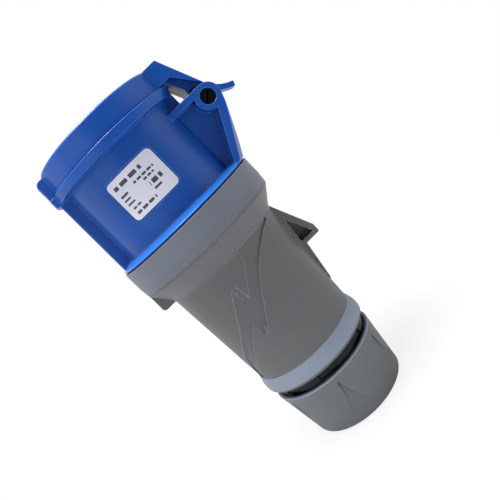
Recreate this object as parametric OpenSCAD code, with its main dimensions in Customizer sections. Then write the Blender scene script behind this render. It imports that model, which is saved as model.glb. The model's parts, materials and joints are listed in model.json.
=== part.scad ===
/* [Socket mouth] */
// Bore of the socket mouth that takes the plug's shroud
socket_d = 65.2; // [63:0.1:68]
// Wall of the neck round the socket
neck_wall = 2.5; // [2:0.1:3.5]
// Length of the neck between shoulder and rim
neck_len = 44.2; // [40:0.1:55]
// How far the rim stands out from the neck
rim_proud = 5.9; // [5:0.1:7]
// Height of the rim
rim_h = 5; // [4:0.1:8]
// Width of the keyway inside the mouth
key_w = 7.5; // [6:0.1:9]
// Depth of the keyway into the wall
key_depth = 6.3; // [5:0.1:7]

/* [Lid] */
// Outer diameter of the lid
lid_d = 77.8; // [76:0.1:80]
// Height of the lid above its seam
lid_h = 11.6; // [10:0.1:14]
// Wall of the lid's skirt and top
lid_wall = 2.6; // [2:0.1:3]
// Width of the closing lug on lid and rim
lug_w = 23.6; // [16:0.1:28]
// How far the closing lug stands out from the lid
lug_proud = 4.7; // [3.5:0.1:6]
// Thickness of the sealing ring
gasket_h = 4; // [3:0.1:5]

/* [Hinge] */
// Distance of the hinge pin from the long axis
pin_x = 48.3; // [48:0.1:51]
// Depth of the hinge pin below the socket's face
pin_drop = 18.4; // [18:0.1:22]
// Diameter of the hinge pin
pin_d = 8; // [7:0.1:8.4]
// Radial clearance of the pin in its bores
pin_clear = 0.06; // [0.02:0.01:0.1]
// Outer diameter of the bosses round the pin
boss_d = 13.6; // [13:0.1:15]
// Width over both ears of the bracket
bracket_w = 44; // [40:0.1:48]
// Gap between the two ears
ear_gap = 23.6; // [22:0.1:26]
// Thickness of each ear's web
ear_web = 2.4; // [2:0.1:3.5]
// Width of the lid's arm where it leaves the lid
arm_w = 35; // [32:0.1:38]
// Wall of the lid's arm
arm_wall = 2.6; // [2:0.1:3]
// Wire of the lid's spring
spring_wire = 1.2; // [0.8:0.1:1.2]
// Turns of the lid's spring
spring_turns = 5; // [3:1:6]

/* [Contacts] */
// Diameter of the insulating tower
tower_d = 57; // [54:0.1:57.4]
// Pitch circle of the contacts
contact_pcd = 34; // [32:0.1:35]
// Diameter of the plug's line and neutral pins
pole_pin_d = 6; // [5:0.1:6.2]
// Diameter of the plug's earth pin
earth_pin_d = 8; // [7:0.1:8.2]
// Wall of the slotted contact sleeves
sleeve_wall = 1.6; // [1.2:0.1:1.8]
// Depth of the tower's face below the socket's face
tower_recess = 1.7; // [1:0.1:4]

/* [Handle] */
// Diameter of the collar
collar_d = 86.4; // [86:0.1:90]
// Wall of the collar
collar_wall = 2.9; // [2.5:0.1:3.5]
// Length of the collar
collar_len = 16.5; // [15:0.1:20]
// Length of the cone between collar and grip
cone_len = 10.6; // [8:0.1:14]
// Diameter of the grip below the cone
grip_top_d = 69.2; // [68:0.1:74]
// Diameter of the grip above the flange
grip_end_d = 62.6; // [62:0.1:66]
// Length of the grip
grip_len = 62.4; // [58:0.1:80]
// Wall of the grip
grip_wall = 2.8; // [2.2:0.1:3.5]
// Depth of the zigzag relief
relief_depth = 0.7; // [0.3:0.1:1]
// Diameter of the flange at the cable end
flange_d = 65.8; // [65:0.1:70]
// Length of the flange
flange_len = 9; // [8:0.1:12]

/* [Cable gland] */
// Length of the gland nut
nut_len = 29.8; // [28:0.1:36]
// Diameter of the nut at its open end
nut_top_d = 63.4; // [62.4:0.1:65]
// Diameter of the nut at the cable end
nut_end_d = 56; // [55:0.1:60]
// Travel of the nut while it is tightened
nut_travel = 4.5; // [3:0.1:4.6]
// Diameter of the cable entry in the nut
entry_d = 24; // [20:0.1:26]
// Diameter of the gland's thread
thread_d = 51; // [49:0.1:51.6]
// Number of scoops round the nut
scoop_count = 6; // [4:1:8]
// Number of raised blocks on the gland body's collar
block_count = 8; // [6:1:12]

/* [Label] */
// Height of the label along the axis
label_h = 21.9; // [18:0.1:26]
// Width of the label round the neck
label_w = 28.4; // [20:0.1:32]
// Thickness of the label
label_t = 0.3; // [0.2:0.05:0.4]

/* [Hidden] */
$fn = 64;
round_fn = 24;
cut = 1;

// Clearances between pieces that slip into each other
slip = 0.2;
ring_slip = 0.05;
seam = 0.6;

// Heights along the axis, measured from the nut's end face
gap_len = nut_travel + 0.7;
z_flange = nut_len + gap_len;
z_grip = z_flange + flange_len;
z_cone = z_grip + grip_len;
z_collar = z_cone + cone_len;
z_seam = z_collar + collar_len;
shoulder_rise = 3.1;
z_foot = z_seam + shoulder_rise;
z_rim = z_foot + neck_len;
z_face = z_rim + rim_h;
z_lid = z_face + seam;
z_top = z_lid + lid_h;
z_pin = z_face - pin_drop;

// Radii of the front housing and the lid
socket_r = socket_d / 2;
neck_r = socket_r + neck_wall;
rim_r = neck_r + rim_proud;
lid_r = lid_d / 2;
lug_r = lid_r + lug_proud;
ridge_r = socket_r + key_depth + neck_wall;
ridge_w = key_w + 2 * neck_wall;
collar_r = collar_d / 2;
skirt_r = collar_r - collar_wall - slip;
skirt_wall = 2.9;
skirt_len = collar_len - 1.5;
ledge_h = 5.1;
z_ledge = z_foot - ledge_h;

// Hinge bracket, arm and thumb tail
pin_r = pin_d / 2;
bore_r = pin_r + pin_clear;
boss_r = boss_d / 2;
knuckle_r = boss_r - 0.6;
knuckle_w = ear_gap - 1;
pin_recess = 2.5;
pad_x = neck_r + 2.5;
rib_t = 3.5;
rim_cut_turn = -19.3;
rim_cut_lean = 23;
rim_pad_lean = 14.5;
arm_line_r = knuckle_r + 0.1;
coil_w = (spring_turns + 0.5) * (spring_wire + 0.15);
pocket_w = coil_w + spring_wire + 3;
tail_t = 2.9;
tail_w = 8;
tail_r = 20;
tail_turn = 227.7;
tail_len_deg = 24;
rest_r = 0.8;
spring_leg = 12;
coil_clear = 0.25;
bracket_lean = 0.53;

// Handle
grip_top_r = grip_top_d / 2;
grip_end_r = grip_end_d / 2;
flange_r = flange_d / 2;
hook_w = 16;
hook_len = 28.3;
hook_tip = 4.8;
hook_reach = 9.6;
hook_wall = 2.4;
hook_ramp = 22;
key_lug_w = 14;
key_lug_len = 11.5;
seat_len = 12;

// Gland
nut_top_r = nut_top_d / 2;
nut_end_r = nut_end_d / 2;
entry_r = entry_d / 2;
thread_r = thread_d / 2;
barrel_r = thread_r - slip;
barrel_wall = 3.3;
barrel_bore_r = barrel_r - barrel_wall;
seat_r = thread_r + 1;
nut_floor = 3.2;
cone_top = nut_floor + 4.6;
barrel_end = cone_top + nut_travel + slip;
collar_gap = 0.4;
gland_collar_r = thread_r + 2.9;
block_r = gland_collar_r + 1.2;
collet_wall = 3.8;
collet_top = cone_top + 7.2;
seal_low = collet_top + nut_travel + 0.5;
seal_len = 13;
seal_top = seal_low + seal_len;

scoop_tip = 4.1;
scoop_depth = 1.15;
scoop_phi = -8;

// Contacts
pcd_r = contact_pcd / 2;
z_tower = z_face - tower_recess;
tower_r = tower_d / 2;
carrier_flange_r = skirt_r - skirt_wall - slip;
carrier_flange_h = 4;
z_carrier = z_ledge - carrier_flange_h;
insert_r = tower_r - 1.5;
screw_room = carrier_flange_r - tower_r;
screw_pcd_r = tower_r + screw_room / 2;
screw_angles = [30, 150, 270];
carrier_head_r = 0.34 * screw_room;
carrier_screw_r = carrier_head_r / 2;
boss_len = 6;
z_cover = z_carrier - boss_len;
cover_len = 17;
stop_h = 2;
clip_t = 0.6;
sleeve_drop = 3.2;
sleeve_len = 40;
terminal_screw_z = [z_cover - 5.5, z_cover - 12.5];
terminal_screw_r = 1.95;
terminal_head_r = 2.8;
terminal_screw_len = 4;
carrier_bite = 3.5;
cover_screw_r = 1.95;
cover_head_r = 3.6;
cover_bite = 8.5;
cover_sink = 3.5;
screw_head_h = 2;
screw_slot = 0.8;
pole_r = pole_pin_d / 2;
earth_r = earth_pin_d / 2;
line_angle = 60;
neutral_angle = -60;
earth_angle = 180;
poles = [[line_angle, pole_r], [neutral_angle, pole_r], [earth_angle, earth_r]];

// Label
label_phi = -7;
label_z = z_foot + neck_len / 2 + 0.2;
label_corner = 2.3;
label_margin = 0.8;
label_sink = 0.35;

blue = [0.10, 0.27, 0.62];
grey = [0.42, 0.43, 0.45];
black = [0.07, 0.08, 0.09];
brass = [0.78, 0.64, 0.36];
steel = [0.72, 0.73, 0.75];

// Point of contact of the tangent from p to the circle round c, on the side given by the sign
function tangent_point(p, c, r, side) =
    let (d = norm(p - c), base = atan2(p[1] - c[1], p[0] - c[0]), open = acos(r / d))
    c + r * [cos(base - side * open), sin(base - side * open)];
// Radius of the grip's outer cone at a height
function grip_r(z) = grip_end_r + (grip_top_r - grip_end_r) * (z - z_grip) / grip_len;
function nut_r(z) = nut_end_r + (nut_top_r - nut_end_r) * z / nut_len;
function arc(c, r, from, to, steps) =
    [for (i = [0 : steps]) let (a = from + (to - from) * i / steps) c + r * [cos(a), sin(a)]];

module tube(r_out, r_in, z0, z1) {
    translate([0, 0, z0]) difference() {
        cylinder(r = r_out, h = z1 - z0);
        translate([0, 0, -cut]) cylinder(r = r_in, h = z1 - z0 + 2 * cut);
    }
}

module disc(r, z0, z1) {
    translate([0, 0, z0]) cylinder(r = r, h = z1 - z0);
}

// Turns a shape drawn on the front (-Y) side to an angle round the axis
module facing(phi) {
    rotate([0, 0, phi]) children();
}

// Extrudes a side view drawn in X and Z, evenly to both sides of the middle plane
module side_slab(width) {
    rotate([90, 0, 0]) linear_extrude(width, center = true) children();
}

// Rounds the convex and the concave corners of an outline
module soften(r) {
    offset(r = r, $fn = round_fn) offset(delta = -r) children();
}

module fill_in(r) {
    offset(r = -r, $fn = round_fn) offset(delta = r) children();
}

// Both ears' copies of a slab that lies between two distances from the middle plane
module both_ears(near, far) {
    for (side = [-1, 1])
        translate([0, side * (near + far) / 2, 0]) side_slab(far - near) children();
}

module y_cylinder(r, width) {
    translate([pin_x, 0, z_pin]) rotate([90, 0, 0]) cylinder(r = r, h = width, center = true);
}

// Front housing
module housing_shell() {
    rotate_extrude() difference() {
        soften(0.5) polygon([[0, z_seam - skirt_len], [skirt_r, z_seam - skirt_len],
            [skirt_r, z_seam], [collar_r, z_seam], [collar_r, z_seam + 0.7], [neck_r, z_foot],
            [neck_r, z_rim + 1], [0, z_rim + 1]]);
        translate([-collar_r, 0]) square([collar_r, z_top]);
    }
}

// The rim is cut at the hinge by three planes that lean outwards as they rise
module rim_ring() {
    difference() {
        rotate_extrude() difference() {
            soften(0.5) polygon([[0, z_rim], [rim_r, z_rim], [rim_r, z_face], [0, z_face]]);
            translate([-rim_r, 0]) square([rim_r, z_top]);
        }
        translate([pad_x + 0.1, 0, z_rim]) rotate([0, rim_pad_lean, 0])
            translate([0, -rim_r, -rim_r]) cube([rim_r, 2 * rim_r, 2 * rim_r]);
        for (side = [0, 1]) mirror([0, side, 0])
            translate([pad_x + 0.2, -8, z_rim]) rotate([0, 0, rim_cut_turn])
                rotate([0, rim_cut_lean, 0]) translate([0, -rim_r, -rim_r])
                    cube([rim_r, 2 * rim_r, 2 * rim_r]);
    }
}

module keyway_ridge() {
    translate([0, 0, z_seam + 0.7]) linear_extrude(z_face - z_seam - 1.4)
        soften(1) translate([-ridge_r, -ridge_w / 2]) square([ridge_r - socket_r + 3, ridge_w]);
}

// Lug opposite the hinge, with rounded outer corners; the edge at height z_sharp stays sharp
module closing_lug(z0, z1, reach, corner, z_sharp) {
    overrun = 2 * corner;
    intersection() {
        rotate_extrude() intersection() {
            soften(corner) translate([0, z0 - (z_sharp == z0 ? overrun : 0)])
                square([reach, z1 - z0 + overrun]);
            translate([socket_r + 1, z0]) square([reach, z1 - z0]);
        }
        translate([0, 0, z0 - cut]) linear_extrude(z1 - z0 + 2 * cut)
            soften(1.5) translate([-reach - 3, -lug_w / 2]) square([reach, lug_w]);
    }
}

// Side view of an ear: top flange, boss and the rear line down to the shoulder
module ear_view() {
    rear = tangent_point([collar_r, z_seam + 0.7], [pin_x, z_pin], boss_r, -1);
    polygon([[neck_r - 8, z_seam + 0.7], [collar_r, z_seam + 0.7], rear, [pin_x, z_pin],
        [pin_x, z_pin + boss_r], [neck_r - 8, z_pin + boss_r]]);
    translate([pin_x, z_pin]) circle(r = boss_r);
}

// Hollow of an ear between its top flange, boss, rear rib and the neck
module ear_hollow() {
    difference() {
        polygon([[neck_r - 9, z_seam - 1], [collar_r - 9.6, z_seam - 1],
            [pin_x - 0.6, z_pin - boss_r - 0.6], [pin_x, z_pin + boss_r - rib_t],
            [neck_r - 9, z_pin + boss_r - rib_t]]);
        translate([pin_x, z_pin]) circle(r = boss_r);
    }
}

module bracket() {
    // The outer side of both ears lies on a cone round the long axis
    cone_top_r = collar_r + bracket_lean * (z_rim - z_seam);
    intersection() {
        difference() {
            both_ears(ear_gap / 2, bracket_w / 2) ear_view();
            both_ears(ear_gap / 2 + ear_web, bracket_w / 2 + cut) ear_hollow();
        }
        translate([0, 0, z_seam]) cylinder(r1 = collar_r, r2 = cone_top_r, h = z_rim - z_seam);
    }
}

module hinge_pad() {
    translate([neck_r - 6, -ear_gap / 2, z_foot - 1])
        cube([pad_x - neck_r + 6, ear_gap, z_rim - z_foot + 2]);
}

module bayonet_lugs(reach, grow) {
    for (a = [0 : 120 : 240])
        rotate([0, 0, a + 30]) translate([0, 0, z_seam - skirt_len + 3 - grow])
            rotate_extrude(angle = 18 + 2 * grow)
                translate([skirt_r - 1, 0]) square([reach - skirt_r + 1, 4 + 2 * grow]);
}

module label_patch(grow) {
    facing(label_phi) translate([0, 0, label_z]) rotate([90, 0, 0])
        linear_extrude(neck_r + 5) offset(r = label_corner + grow, $fn = round_fn)
            square([2 * neck_r * sin(label_w / neck_r * 90 / PI), label_h]
                - 2 * [label_corner, label_corner], center = true);
}

module front_housing() color(blue) difference() {
    union() {
        housing_shell();
        rim_ring();
        keyway_ridge();
        closing_lug(z_rim - 0.4, z_face, lug_r + 0.2, 0.8, z_face);
        bracket();
        hinge_pad();
        bayonet_lugs(skirt_r + 1.3, 0);
    }
    disc(socket_r, z_foot, z_face + cut);
    disc(tower_r + slip, z_ledge - cut, z_foot + cut);
    disc(skirt_r - skirt_wall, z_seam - skirt_len - cut, z_ledge);
    translate([-socket_r - key_depth, -key_w / 2, z_foot]) cube([key_depth + 6, key_w, z_face]);
    y_cylinder(bore_r, bracket_w + 2 * cut);
    tube(skirt_r + cut, skirt_r - 1.2, z_seam - 6, z_seam - 3.6);
    for (a = screw_angles) rotate([0, 0, a]) translate([screw_pcd_r, 0, 0])
        disc(carrier_screw_r + ring_slip, z_ledge - cut, z_ledge + carrier_bite + 0.5);
    intersection() {
        tube(neck_r + cut, neck_r - label_sink, label_z - label_h, label_z + label_h);
        label_patch(label_margin);
    }
}

// O-ring round the housing's skirt
module housing_seal() color(black) translate([0, 0, z_seam - 4.8]) rotate_extrude()
    translate([skirt_r - 0.5, 0]) circle(r = 0.65);

module rating_label() color("white") intersection() {
    tube(neck_r - label_sink + label_t, neck_r - label_sink, label_z - label_h, label_z + label_h);
    label_patch(0);
}

// Lid
function arm_top() = [lid_r + 3.3, z_top];
function arm_foot() = tangent_point(arm_top(), [pin_x, z_pin], arm_line_r, 1);
// A point on the arm's outer line, shifted inwards, at a height
function arm_line(z, inset) =
    let (u = (arm_foot() - arm_top()) / norm(arm_foot() - arm_top()), n = [u[1], -u[0]],
         p = arm_top() + inset * n, t = (z - p[1]) / u[1])
    [p[0] + t * u[0], z];

// Thumb tail that grows out of the arm's end and curls up behind the pin
module tail_view() {
    start = arm_line(z_pin + boss_r, 0);
    end = tail_turn + tail_len_deg;
    centre = start + [7.3, -4.7] - tail_r * [cos(tail_turn), sin(tail_turn)];
    soften(0.5) polygon(concat([start, arm_line(z_pin + boss_r, arm_wall), arm_line(z_pin + 2.2, arm_wall)],
        arc(centre, tail_r + tail_t, tail_turn + 1, end, 6), arc(centre, tail_r, end, tail_turn, 6)));
}

// Bar across the arm's channel that the spring's upper leg pushes on
function spring_rest() = [pin_x - 4, z_pin + 12];
// End of the upper leg, which leaves the coil of radius r and passes behind the bar
function spring_end(r) =
    let (reach = rest_r + spring_wire / 2 + ring_slip, d = [pin_x, z_pin] - spring_rest(),
         turn = atan2(d[1], d[0]) + acos((r + reach) / norm(d)))
    spring_rest() + reach * [cos(turn), sin(turn)] + rest_r * [-sin(turn), cos(turn)];

// Side view of the arm between lid and pin
module arm_view() {
    soften(0.8) polygon([[lid_r - 2.5, z_top - 0.01], arm_top(), arm_foot(), [pin_x, z_pin],
        [pin_x - knuckle_r, z_pin], [pin_x - knuckle_r + 1.7, z_pin + 7],
        [pin_x - knuckle_r + 1.9, z_pin + 10.8], [lid_r + 2, z_face - 1.1], [lid_r + 1.6, z_lid],
        [lid_r - 2.5, z_lid]]);
    translate([pin_x, z_pin]) circle(r = knuckle_r);
}

// Side view of the wide shoulders of the arm next to the lid, which run out in a point
module wing_view() {
    tip = arm_line(z_pin + boss_r, 0);
    root = [lid_r + 3.3, z_lid + 0.6];
    soften(0.5) polygon([[lid_r - 6, z_top - 0.01], arm_top(), tip, root, [lid_r - 6, root[1]]]);
    polygon([tip, tip + 0.4 * (arm_top() - tip), tip + 0.4 * (root - tip)]);
}

// Side view of the hollow behind the arm's outer plate
module arm_pocket_view(low) {
    polygon([[lid_r, low], [lid_r, z_top - arm_wall], arm_line(z_top - arm_wall, arm_wall),
        arm_line(z_pin + 2, arm_wall), [pin_x, z_pin - knuckle_r - 1],
        [lid_r - 3, z_pin - knuckle_r - 1], [lid_r - 3, low]]);
}

module lid_cap() {
    rotate_extrude() intersection() {
        soften(1.2) polygon([[-lid_r, z_lid - 3], [lid_r, z_lid - 3], [lid_r - 0.2, z_top],
            [-lid_r, z_top]]);
        translate([0, z_lid]) square([2 * lid_r, lid_h]);
    }
}

module lid() color(blue) difference() {
    union() {
        difference() {
            union() {
                lid_cap();
                side_slab(arm_w) wing_view();
                closing_lug(z_lid, z_top - 1.4, lug_r, 2.6, z_lid);
            }
            both_ears(knuckle_w / 2, arm_w / 2 - 2) arm_pocket_view(z_lid - 1);
        }
        difference() {
            side_slab(knuckle_w) arm_view();
            side_slab(pocket_w) arm_pocket_view(z_lid - 0.1);
            both_ears(0, ear_gap) spring_window();
        }
        side_slab(tail_w) tail_view();
        side_slab(pocket_w + 1) translate(spring_rest()) circle(r = rest_r);
    }
    disc(gasket_in_r - 1.2, z_face - cut, z_top - lid_wall);
    tube(lid_r - lid_wall, gasket_in_r, z_face - cut, z_face + gasket_h);
    disc(lid_r - lid_wall, z_face - cut, z_face + 1.2);
    y_cylinder(spring_pocket_r, pocket_w);
    y_cylinder(bore_r, arm_w);
}

spring_pocket_r = pin_r + coil_clear + spring_wire + 0.25;

// Opening in the arm's cheeks beside the spring
module spring_window() {
    translate([pin_x - 3.7, z_pin + 5.2]) square([5, 3.9]);
}

gasket_in_r = socket_r - 1.3;
module lid_gasket() color(black) rotate_extrude() polygon([[gasket_in_r + 0.1, z_face + 1.2],
    [gasket_in_r + 0.8, z_face], [lid_r - lid_wall - 0.8, z_face],
    [lid_r - lid_wall - 0.1, z_face + 1.2], [lid_r - lid_wall - 0.1, z_face + gasket_h],
    [gasket_in_r + 0.1, z_face + gasket_h]]);

// Snap-in pin with slotted ends
module hinge_pin() color(black) difference() {
    y_cylinder(pin_r, bracket_w - 2 * pin_recess);
    both_ears(bracket_w / 2 - 9, bracket_w / 2)
        translate([pin_x, z_pin]) rotate(45) square([3 * pin_r, 0.9], center = true);
}

// Torsion spring: two straight legs and a coil, swept along one path
module lid_spring() color(steel) {
    r = pin_r + coil_clear + spring_wire / 2;
    c = [pin_x, z_pin];
    low = [pad_x + spring_wire / 2 + ring_slip, z_pin - spring_leg];
    high = spring_end(r);
    low_t = tangent_point(low, c, r, 1);
    high_t = tangent_point(high, c, r, -1);
    a0 = atan2(low_t[1] - c[1], low_t[0] - c[0]);
    a1 = atan2(high_t[1] - c[1], high_t[0] - c[0]) - 360 * spring_turns;
    steps = 20 * spring_turns;
    path = concat([[low[0], -coil_w / 2, low[1]]],
        [for (i = [0 : steps]) let (a = a0 + (a1 - a0) * i / steps)
            [c[0] + r * cos(a), -coil_w / 2 + coil_w * i / steps, c[1] + r * sin(a)]],
        [[high[0], coil_w / 2, high[1]]]);
    sweep(path, spring_wire / 2, 8);
}

module sweep(path, r, sides) {
    last = len(path) - 1;
    points = [for (i = [0 : last])
        let (u = path[min(i + 1, last)] - path[max(i - 1, 0)], f = [u[0], u[2]] / norm([u[0], u[2]]))
        for (k = [0 : sides - 1]) let (a = 360 * k / sides)
            path[i] + r * [-f[1] * cos(a), sin(a), f[0] * cos(a)]];
    faces = concat([[for (k = [sides - 1 : -1 : 0]) k]], [[for (k = [0 : sides - 1]) last * sides + k]],
        [for (i = [0 : last - 1]) for (k = [0 : sides - 1]) let (n = (k + 1) % sides)
            [i * sides + k, i * sides + n, (i + 1) * sides + n, (i + 1) * sides + k]]);
    polyhedron(points, faces);
}

// Insert with the contacts
module at_pole(angle) {
    rotate([0, 0, angle]) translate([pcd_r, 0, 0]) children();
}

function sleeve_r(r) = r + sleeve_wall;
function clip_r(r) = sleeve_r(r) + clip_t;

// Bores for the contacts, through the base plate and the tower
module pole_bores() {
    for (p = poles) at_pole(p[0]) disc(clip_r(p[1]) + 0.15, z_cover - cut, z_tower);
}

// Insulating tower that stands in the socket
module contact_carrier() color(grey) difference() {
    disc(tower_r, z_ledge, z_tower - sleeve_drop);
    pole_bores();
}

// Plate on the tower's end that guides the plug's pins into the sleeves
module tower_face() color(grey) difference() {
    rotate_extrude() polygon([[0, z_tower - sleeve_drop], [tower_r, z_tower - sleeve_drop],
        [tower_r, z_tower - 1], [tower_r - 1, z_tower], [0, z_tower]]);
    for (p = poles) at_pole(p[0]) disc(p[1] + 0.5, z_tower - sleeve_drop - cut, z_tower + cut);
}

// Plate that holds the tower against the housing's ledge
module carrier_base() color(grey) difference() {
    union() {
        disc(carrier_flange_r, z_carrier, z_ledge);
        disc(insert_r, z_cover, z_carrier);
    }
    pole_bores();
    for (a = screw_angles) rotate([0, 0, a]) translate([screw_pcd_r, 0, 0])
        disc(carrier_screw_r + slip, z_carrier - cut, z_ledge + cut);
    disc(cover_screw_r + ring_slip, z_cover - cut, z_ledge + cut);
}

module terminal_cover() color(grey) difference() {
    disc(insert_r, z_cover - cover_len, z_cover);
    for (p = poles)
        at_pole(p[0]) {
            disc(clip_r(p[1]) - 0.35, z_cover - cover_len - cut, z_cover + cut);
            disc(clip_r(p[1]) + 1.15, z_cover - stop_h, z_cover + cut);
            for (z = terminal_screw_z)
                translate([0, 0, z]) rotate([0, 90, 0])
                    cylinder(r = terminal_head_r + 0.5, h = tower_r);
        }
    disc(cover_screw_r + 2 * slip, z_cover - cover_len - cut, z_cover + cut);
    disc(cover_head_r + 2 * slip, z_cover - cover_len - cut, z_cover - cover_len + cover_sink);
}

// Brass contact: slotted sleeve in front, stop collar, and a drilled terminal behind
module contact(r) {
    z_sleeve = z_tower - sleeve_drop - 0.2;
    z_end = z_cover - cover_len + 0.4;
    color(brass) difference() {
        union() {
            disc(sleeve_r(r), z_cover, z_sleeve);
            disc(clip_r(r), z_cover, z_sleeve - sleeve_len);
            disc(clip_r(r) + 1, z_cover - stop_h, z_cover);
            disc(clip_r(r) - 0.5, z_end, z_cover - stop_h);
        }
        disc(r + 0.05, z_sleeve - sleeve_len, z_sleeve + cut);
        for (a = [45, 135]) rotate([0, 0, a])
            translate([-sleeve_r(r) - cut, -0.4, z_sleeve - sleeve_len + 8])
                cube([2 * (sleeve_r(r) + cut), 0.8, sleeve_len]);
        tube(sleeve_r(r) + cut, sleeve_r(r) - 0.3, z_sleeve - 14, z_sleeve - 8);
        disc(r, z_end - cut, z_end + 14.4);
        for (z = terminal_screw_z)
            translate([0, 0, z]) rotate([0, 90, 0])
                cylinder(r = terminal_screw_r + ring_slip, h = 2 * r + 4);
    }
}

module contact_clip(r) {
    z = z_tower - sleeve_drop - 8.3;
    color(steel) difference() {
        tube(clip_r(r) - 0.05, sleeve_r(r) - 0.25, z - 5.8, z);
        translate([0, -0.5, z - 6 - cut]) cube([2 * clip_r(r), 1, 6 + 2 * cut]);
    }
}

module line_contact() at_pole(line_angle) contact(pole_r);
module neutral_contact() at_pole(neutral_angle) contact(pole_r);
module earth_contact() at_pole(earth_angle) contact(earth_r);
module line_clip() at_pole(line_angle) contact_clip(pole_r);
module neutral_clip() at_pole(neutral_angle) contact_clip(pole_r);
module earth_clip() at_pole(earth_angle) contact_clip(earth_r);

// Slotted screw along +X, its tip at the origin
module screw(shank_r, head_r, shank_len, head_h) {
    difference() {
        rotate([0, 90, 0]) union() {
            cylinder(r = shank_r, h = shank_len);
            translate([0, 0, shank_len]) cylinder(r = head_r, h = head_h);
        }
        translate([shank_len + 0.65 * head_h, -screw_slot / 2, -head_r - cut])
            cube([head_h, screw_slot, 2 * (head_r + cut)]);
    }
}

module terminal_screws() color(steel)
    for (p = poles)
        at_pole(p[0]) for (z = terminal_screw_z)
            translate([p[1] - 1.5, 0, z])
                screw(terminal_screw_r, terminal_head_r, terminal_screw_len, screw_head_h);

module carrier_screws() color(steel)
    for (a = screw_angles) rotate([0, 0, a])
        translate([screw_pcd_r, 0, z_ledge + carrier_bite]) rotate([0, 90, 0])
            screw(carrier_screw_r, carrier_head_r, carrier_flange_h + carrier_bite, screw_head_h);

module cover_screw() color(steel)
    translate([0, 0, z_cover + cover_bite]) rotate([0, 90, 0])
        screw(cover_screw_r, cover_head_r, cover_len + cover_bite - cover_sink, screw_head_h);

// Handle
module handle_outline() {
    fill_in(6) soften(1.6) polygon([[0, z_flange], [flange_r, z_flange],
        [flange_r, z_flange + flange_len * 0.5], [grip_end_r, z_grip + 0.8],
        [grip_top_r, z_cone], [collar_r - 0.6, z_collar], [collar_r, z_collar + 6],
        [collar_r, z_seam + 4], [0, z_seam + 4]]);
}

module handle_hollow() {
    fill_in(1.2) polygon([[-5, z_flange + seat_len], [grip_r(z_flange + seat_len) - grip_wall,
        z_flange + seat_len], [grip_top_r - grip_wall, z_cone],
        [skirt_r - skirt_wall, z_collar + 0.8], [skirt_r + slip, z_collar + 0.9],
        [skirt_r + slip, z_seam + 8], [-5, z_seam + 8]]);
}

module revolve(side_clear) {
    rotate_extrude() intersection() {
        children();
        translate([0, -side_clear]) square([2 * collar_r, z_top + side_clear]);
    }
}

// Side hook: a wedge that leaves the grip and drops back square, with a pocket in each side
module side_hook() {
    foot = z_cone + 0.9;
    end = foot - hook_len;
    tip_x = grip_top_r + hook_reach;
    difference() {
        side_slab(hook_w) soften(0.9) polygon([[grip_end_r - 2, foot], [grip_top_r - 0.5, foot],
            [tip_x, end + hook_tip], [tip_x, end], [grip_top_r + 0.6, end],
            [grip_r(end - hook_ramp) - 0.3, end - hook_ramp], [grip_end_r - 2, end - hook_ramp]]);
        both_ears(1.5, hook_w / 2 + cut) soften(0.5) polygon([[grip_top_r + 0.4, foot - 0.38 * hook_len],
            [tip_x - hook_wall, end + hook_wall], [grip_top_r - 1, end + hook_wall]]);
    }
}

// Lug that carries the collar's outer face down along the grip, with a rounded lower edge
module key_lug() {
    low = z_collar - key_lug_len;
    intersection() {
        translate([0, 0, low]) linear_extrude(key_lug_len + 2) soften(1)
            translate([-collar_r - 4, -key_lug_w / 2])
                square([collar_r - grip_end_r + 8, key_lug_w]);
        rotate_extrude() intersection() {
            soften(2) translate([-10, low]) square([collar_r + 9.2, key_lug_len + 10]);
            translate([0, low]) square([collar_r, key_lug_len + 2]);
        }
    }
}

// Zigzag relief: outlines given as angle round the grip and height as a share of its length
upper_bolt = [[9, 0.99], [7, 0.90], [1, 0.83], [-12, 0.67], [-13.5, 0.81], [-25, 0.64],
              [-18, 0.42], [-22.4, 0.36], [0, 0.65], [8.4, 0.745], [16, 0.82], [23, 0.87],
              [42, 0.955], [57, 0.98], [57, 1.06], [9, 1.06]];
lower_bolt = [[-13.5, 0.81], [-37.6, 0.52], [-66, 0.26], [-92, -0.1], [-74, -0.1],
              [-60, 0.16], [-23.7, 0.51], [-22.4, 0.36], [-12.8, 0.49]];

module bolt_cut(outline, middle) {
    facing(middle) rotate([90, 0, 0]) linear_extrude(collar_r)
        polygon([for (p = outline) [grip_end_r * sin(p[0] - middle), z_grip + grip_len * p[1]]]);
}

module relief() {
    difference() {
        for (turn = [0, 180]) rotate([0, 0, turn]) {
            bolt_cut(upper_bolt, 12);
            bolt_cut(lower_bolt, -48);
        }
        rotate_extrude() polygon([[0, z_grip - 20], [grip_end_r - relief_depth, z_grip - 20],
            [grip_end_r - relief_depth, z_grip], [grip_top_r - relief_depth, z_cone],
            [collar_r, z_cone + 4], [0, z_cone + 4]]);
        disc(2 * collar_r, z_flange - 20, z_grip + 1);
        disc(2 * collar_r, z_cone + 1.5, z_top);
    }
}

module handle_shell() color(grey) difference() {
    union() {
        difference() {
            revolve(0) handle_outline();
            relief();
        }
        side_hook();
        key_lug();
    }
    revolve(0) handle_hollow();
    disc(seat_r, z_flange - cut, z_flange + seat_len + cut);
    disc(2 * collar_r, z_seam - seam, z_seam + 10);
    bayonet_lugs(skirt_r + slip + 1.4, 0.3);
    for (a = [0 : 120 : 240]) rotate([0, 0, a + 48]) translate([0, 0, z_seam - skirt_len + 2.7])
        rotate_extrude(angle = 20) translate([skirt_r - 1, 0]) square([2.6, skirt_len]);
}

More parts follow.
